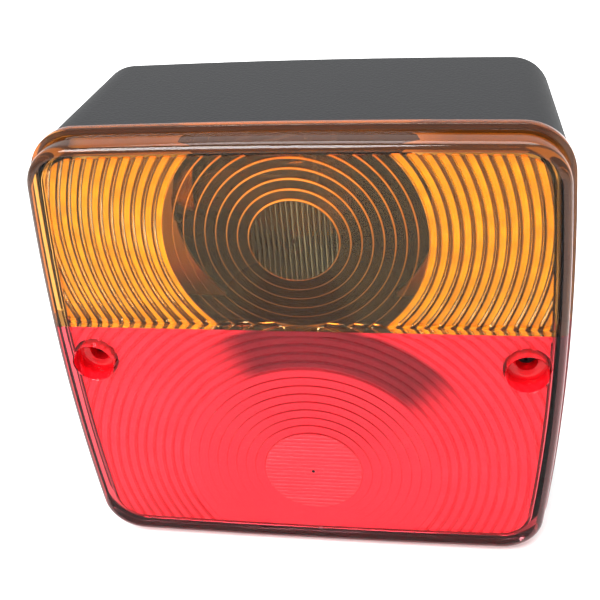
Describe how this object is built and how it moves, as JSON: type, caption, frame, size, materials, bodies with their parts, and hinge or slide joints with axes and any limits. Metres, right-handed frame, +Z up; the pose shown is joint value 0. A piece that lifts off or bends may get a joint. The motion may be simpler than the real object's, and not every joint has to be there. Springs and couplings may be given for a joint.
{
  "type": "trailer tail light",
  "caption": "Square trailer rear lamp: amber indicator over red stop and tail lens on a black housing, with bayonet bulbs inside and rear mounting studs.",
  "frame": {"origin": "centre of the two mounting studs, on the rear mounting face", "axes": "+Y out of the back along the studs, the lens looks along -Y; +Z up with the amber half on top; +X to the right of someone facing the lens"},
  "size_m": [0.104, 0.066, 0.099],
  "materials": {
    "housing_plastic": "fine moulded grain",
    "amber_acrylic": "clear moulded, glossy",
    "red_acrylic": "clear moulded, glossy",
    "rubber": "matt",
    "reflector_metal": "bright pressed sheet",
    "plated_steel": "zinc plated",
    "black_steel": "black coated",
    "brass": "stamped",
    "spring_steel": "drawn wire",
    "clear_glass": "clear blown",
    "black_glass": "fused black glass",
    "solder": "soft solder",
    "laminate": "paper laminate",
    "nylon": "natural moulded"
  },
  "bodies": {
    "housing": {"housing": "housing_plastic", "lens_gasket": "rubber", "amber_reflector": "reflector_metal", "red_reflector": "reflector_metal", "reflector_rivets": "plated_steel", "mounting_studs": "plated_steel", "cable_grommet": "rubber", "indicator_strip": "brass", "stop_strip": "brass", "tail_strip": "brass", "earth_strip": "brass", "terminal_block": "nylon", "terminal_screws": "plated_steel", "indicator_contact_spring": "spring_steel", "stop_contact_spring": "spring_steel", "tail_contact_spring": "spring_steel", "indicator_holder_shell": "plated_steel", "indicator_holder_base": "laminate", "indicator_bracket": "plated_steel", "indicator_bracket_rivets": "plated_steel", "stop_tail_holder_shell": "plated_steel", "stop_tail_holder_base": "laminate", "stop_tail_bracket": "plated_steel", "stop_tail_bracket_rivets": "plated_steel"},
    "lens": {"amber_lens": "amber_acrylic", "red_lens": "red_acrylic"},
    "left_seal": {"left_screw_seal": "rubber"},
    "left_screw": {"left_lens_screw": "black_steel"},
    "right_seal": {"right_screw_seal": "rubber"},
    "right_screw": {"right_lens_screw": "black_steel"},
    "indicator_contact": {"indicator_contact_disc": "laminate", "indicator_contact_tip": "brass"},
    "stop_tail_contact": {"stop_tail_contact_disc": "laminate", "stop_contact_tip": "brass", "tail_contact_tip": "brass"},
    "indicator_bulb": {"indicator_bulb_glass": "clear_glass", "indicator_bulb_stem": "clear_glass", "indicator_bulb_cap": "brass", "indicator_bulb_pins": "brass", "indicator_bulb_insulator": "black_glass", "indicator_bulb_contacts": "solder", "indicator_filament": "spring_steel"},
    "stop_tail_bulb": {"stop_tail_bulb_glass": "clear_glass", "stop_tail_bulb_stem": "clear_glass", "stop_tail_bulb_cap": "brass", "stop_tail_bulb_pins": "brass", "stop_tail_bulb_insulator": "black_glass", "stop_tail_bulb_contacts": "solder", "stop_filament": "spring_steel", "tail_filament": "spring_steel"}
  },
  "joints": [
    {"name": "lens_lift", "type": "slide", "parent": "housing", "child": "lens", "axis": [0, -1, 0], "range_m": [0, 0.05]},
    {"name": "left_screw_advance", "type": "slide", "parent": "lens", "child": "left_seal", "axis": [0, -1, 0], "range_m": [0, 0.0134]},
    {"name": "left_screw_turn", "type": "hinge", "parent": "left_seal", "child": "left_screw", "pos_m": [-0.0438, 0, 0], "axis": [0, -1, 0], "range_deg": [0, 3605]},
    {"name": "right_screw_advance", "type": "slide", "parent": "lens", "child": "right_seal", "axis": [0, -1, 0], "range_m": [0, 0.0134]},
    {"name": "right_screw_turn", "type": "hinge", "parent": "right_seal", "child": "right_screw", "pos_m": [0.0438, 0, 0], "axis": [0, -1, 0], "range_deg": [0, 3605]},
    {"name": "indicator_push", "type": "slide", "parent": "housing", "child": "indicator_contact", "axis": [-1, 0, 0], "range_m": [0, 0.0015], "stiffness_N_per_m": 2000, "springref_m": -0.004, "deforming": ["indicator_contact_spring"]},
    {"name": "indicator_twist", "type": "hinge", "parent": "indicator_contact", "child": "indicator_bulb", "pos_m": [0, -0.0235, 0.028], "axis": [-1, 0, 0], "range_deg": [0, 24]},
    {"name": "stop_tail_push", "type": "slide", "parent": "housing", "child": "stop_tail_contact", "axis": [-1, 0, 0], "range_m": [0, 0.0015], "stiffness_N_per_m": 2000, "springref_m": -0.004, "deforming": ["stop_contact_spring", "tail_contact_spring"]},
    {"name": "stop_tail_twist", "type": "hinge", "parent": "stop_tail_contact", "child": "stop_tail_bulb", "pos_m": [0, -0.0235, -0.029], "axis": [-1, 0, 0], "range_deg": [0, 24]}
  ],
  "couplings": [
    {"joint": "left_screw_turn", "follows": "left_screw_advance", "rad_per_m": 4688.9},
    {"joint": "right_screw_turn", "follows": "right_screw_advance", "rad_per_m": 4688.9}
  ]
}
